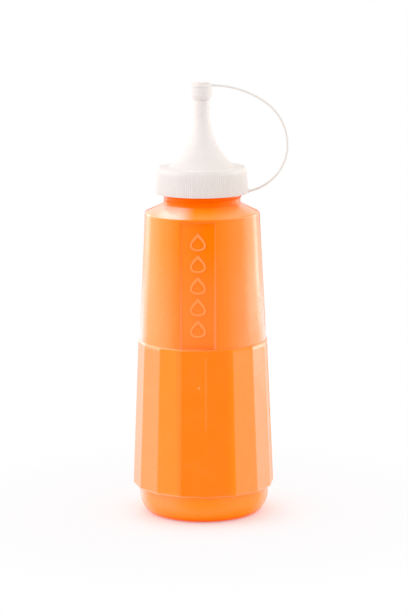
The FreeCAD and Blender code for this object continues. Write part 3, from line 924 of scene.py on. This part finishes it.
# A round strap in four arcs, out to its belly and back to the pad
def buildStrap():
    t = tip
    half = t["strapThickness"] / 2
    bm = bmesh.new()
    start = Vector((t["flangeRadius"] - half, t["flangeTop"] - t["flangeThickness"] / 2))
    landing = Vector((strapPad["outside"], cap["bottom"] + strapPad["size"][2] / 2))
    belly = Vector((t["strapReach"], landing.y + t["strapBelly"] * (start.y - landing.y)))
    root = Matrix.Translation((start.x - t["strapRoot"], 0, start.y)) @ Matrix.Rotation(math.pi / 2, 4, "Y")
    bmesh.ops.create_circle(bm, cap_ends=False, segments=t["strapPoints"], radius=half, matrix=root)
    made = bmesh.ops.extrude_edge_only(bm, edges=bm.edges[:])["geom"]
    moved = [g for g in made if isinstance(g, bmesh.types.BMVert)]
    bmesh.ops.translate(bm, vec=(t["strapRoot"], 0, 0), verts=moved)
    last = moved + [g for g in made if isinstance(g, bmesh.types.BMEdge)
                    and all(v in moved for v in g.verts)]
    here, heading = start, 0.0
    for target, turns in ((belly, t["strapTurns"][:2]), (landing, t["strapTurns"][2:])):
        one, two = arcStep(heading, turns[0]), arcStep(heading + turns[0], turns[1])
        way = target - here
        size = one.x * two.y - one.y * two.x
        radii = ((way.x * two.y - way.y * two.x) / size, (one.x * way.y - one.y * way.x) / size)
        for radius, turnBy in zip(radii, turns):
            a = math.radians(heading)
            centre = here + Vector((-math.sin(a), -math.cos(a))) * radius
            last = bmesh.ops.spin(bm, geom=last, cent=(centre.x, 0, centre.y), axis=(0, 1, 0),
                                  angle=math.radians(turnBy), steps=max(6, int(turnBy / 3)))["geom_last"]
            here = here + arcStep(heading, turnBy) * radius
            heading += turnBy
    lastEdges = [g for g in last if isinstance(g, bmesh.types.BMEdge)]
    made = bmesh.ops.extrude_edge_only(bm, edges=lastEdges)["geom"]
    moved = [g for g in made if isinstance(g, bmesh.types.BMVert)]
    slope = math.radians(t["strapEndSlope"])  # the end goes into the pad
    bmesh.ops.translate(bm, vec=(-t["strapEnd"] * math.cos(slope), 0, -t["strapEnd"] * math.sin(slope)),
                        verts=moved)
    bmesh.ops.holes_fill(bm, edges=[edge for edge in bm.edges if edge.is_boundary], sides=0)
    return finishPiece(bm, "cap_strap", strapShadedPlastic, sharpAngle=60)


buildTipCap()
buildStrap()


# sauce

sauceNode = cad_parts["sauce"]
if sauceNode.material_slots:
    for materialSlot in sauceNode.material_slots:
        materialSlot.material = chiliSauce
else:
    sauceNode.data.materials.append(chiliSauce)
print("sauce coloured")


# camera

view = {"azimuth": 4.65, "distance": 1.10807, "height": 0.29378, "pitch": 10.13, "roll": 0.304,
        "lens": 144.4, "shift": 0.0022, "sensor": 36.0, "clip": (0.05, 50.0)}


def makeCamera():
    camera = bpy.data.objects.new("camera", bpy.data.cameras.new("camera"))
    scene.collection.objects.link(camera)
    camera.data.lens, camera.data.sensor_width = view["lens"], view["sensor"]
    camera.data.shift_x = view["shift"]
    camera.data.clip_start, camera.data.clip_end = view["clip"]
    a, p, r = (math.radians(view[k]) for k in ("azimuth", "pitch", "roll"))
    outward = Vector((math.sin(a), -math.cos(a), 0))
    right = Vector((math.cos(a), math.sin(a), 0))
    back = outward * math.cos(p) + Vector((0, 0, math.sin(p)))
    up = back.cross(right)
    rolledRight = right * math.cos(r) - up * math.sin(r)
    rolledUp = up * math.cos(r) + right * math.sin(r)
    place = outward * view["distance"] + Vector((0, 0, view["height"]))
    turned = Matrix((rolledRight, rolledUp, back)).transposed().to_4x4()
    camera.matrix_world = Matrix.Translation(place) @ turned
    scene.camera = camera


makeCamera()


# floor, backdrop and lamps

studio = {
    "world": 0.94,
    "floorRadius": 3.2, "clearFrom": 0.026, "clearTo": 0.060, "clearNear": 0.32, "tintTo": 0.14,
    "paper": ((0.84, 0.82, 0.825, 1), (0.87, 0.85, 0.855, 1)), "paperFibre": (900.0, 3.0),
    "paperRoughness": 0.65, "tones": ((0.985, 0.955, 0.960, 1), (1.0, 1.0, 1.0, 1)),
    # name: place, aim, width, height, radiance
    "lamps": {
        "leftBackPanel": ((-0.143, 0.354, 0.609), (0, 0, 0.12), 0.26, 0.3, 1.43),
        "leftPanel": ((-0.541, 0.241, 0.214), (0, 0, 0.12), 0.62, 0.36, 1.16),
        "leftHighPanel": ((-0.494, -0.161, 0.420), (0, 0, 0.12), 0.45, 0.4, 1.98),
        "rightPanel": ((0.539, 0.263, 0.151), (0, 0, 0.12), 0.52, 0.27, 2.53),
        "rightHighPanel": ((0.466, -0.082, 0.489), (0, 0, 0.12), 0.45, 0.4, 0.935),
    },
}


def makeFloor():
    bm = bmesh.new()
    bmesh.ops.create_circle(bm, cap_ends=True, segments=96, radius=studio["floorRadius"])
    mesh = bpy.data.meshes.new("studio_floor")
    bm.to_mesh(mesh)
    bm.free()
    floor = bpy.data.objects.new("studio_floor", mesh)
    scene.collection.objects.link(floor)
    material, tree, shader, place = startMaterial("whitePaper")
    shader.inputs["Roughness"].default_value = studio["paperRoughness"]
    fibre = noiseNode(tree, place, *studio["paperFibre"])
    tree.links.new(mixColour(tree, fibre, *studio["paper"]), shader.inputs["Base Color"])
    away = addNode(tree, "ShaderNodeVectorMath", {0: place}, operation="LENGTH").outputs["Value"]
    clear = rangeNode(tree, away, studio["clearFrom"], studio["clearTo"], studio["clearNear"], 1.0)
    # Near the bottle the floor's glow is tinted a faint pink-grey, a painted shade with orange bounce light,
    # fading to white.
    tone = mixColour(tree, rangeNode(tree, away, studio["clearFrom"], studio["tintTo"], smooth=False),
                     *studio["tones"])
    glow = addNode(tree, "ShaderNodeEmission", {"Color": tone, "Strength": 1.0})
    share = timesNode(tree, clear, seenNode(tree))
    blend = addNode(tree, "ShaderNodeMixShader", {0: share, 1: shader.outputs[0], 2: glow.outputs[0]})
    tree.links.new(blend.outputs[0], tree.nodes["Material Output"].inputs["Surface"])
    mesh.materials.append(material)


def makeWorld():
    world = bpy.data.worlds.new("studio")
    scene.world = world
    world.use_nodes = True
    tree = world.node_tree
    ground = tree.nodes["Background"]
    strength = mixValue(tree, seenNode(tree), studio["world"], 1.0)
    ground.inputs["Color"].default_value = (1, 1, 1, 1)
    tree.links.new(strength, ground.inputs["Strength"])


def makeLamps():
    for name, (place, aim, width, height, radiance) in studio["lamps"].items():
        lamp = bpy.data.objects.new(name, bpy.data.lights.new(name, "AREA"))
        scene.collection.objects.link(lamp)
        lamp.data.shape = "RECTANGLE"
        lamp.data.size, lamp.data.size_y = width, height
        lamp.data.energy = radiance * math.pi * width * height
        lamp.visible_camera = False
        lamp.location = place
        lamp.rotation_euler = (Vector(place) - Vector(aim)).to_track_quat("Z", "Y").to_euler()


makeFloor()
makeWorld()
makeLamps()
scene.view_settings.view_transform = "Standard"
print("camera, floor and lamps placed")
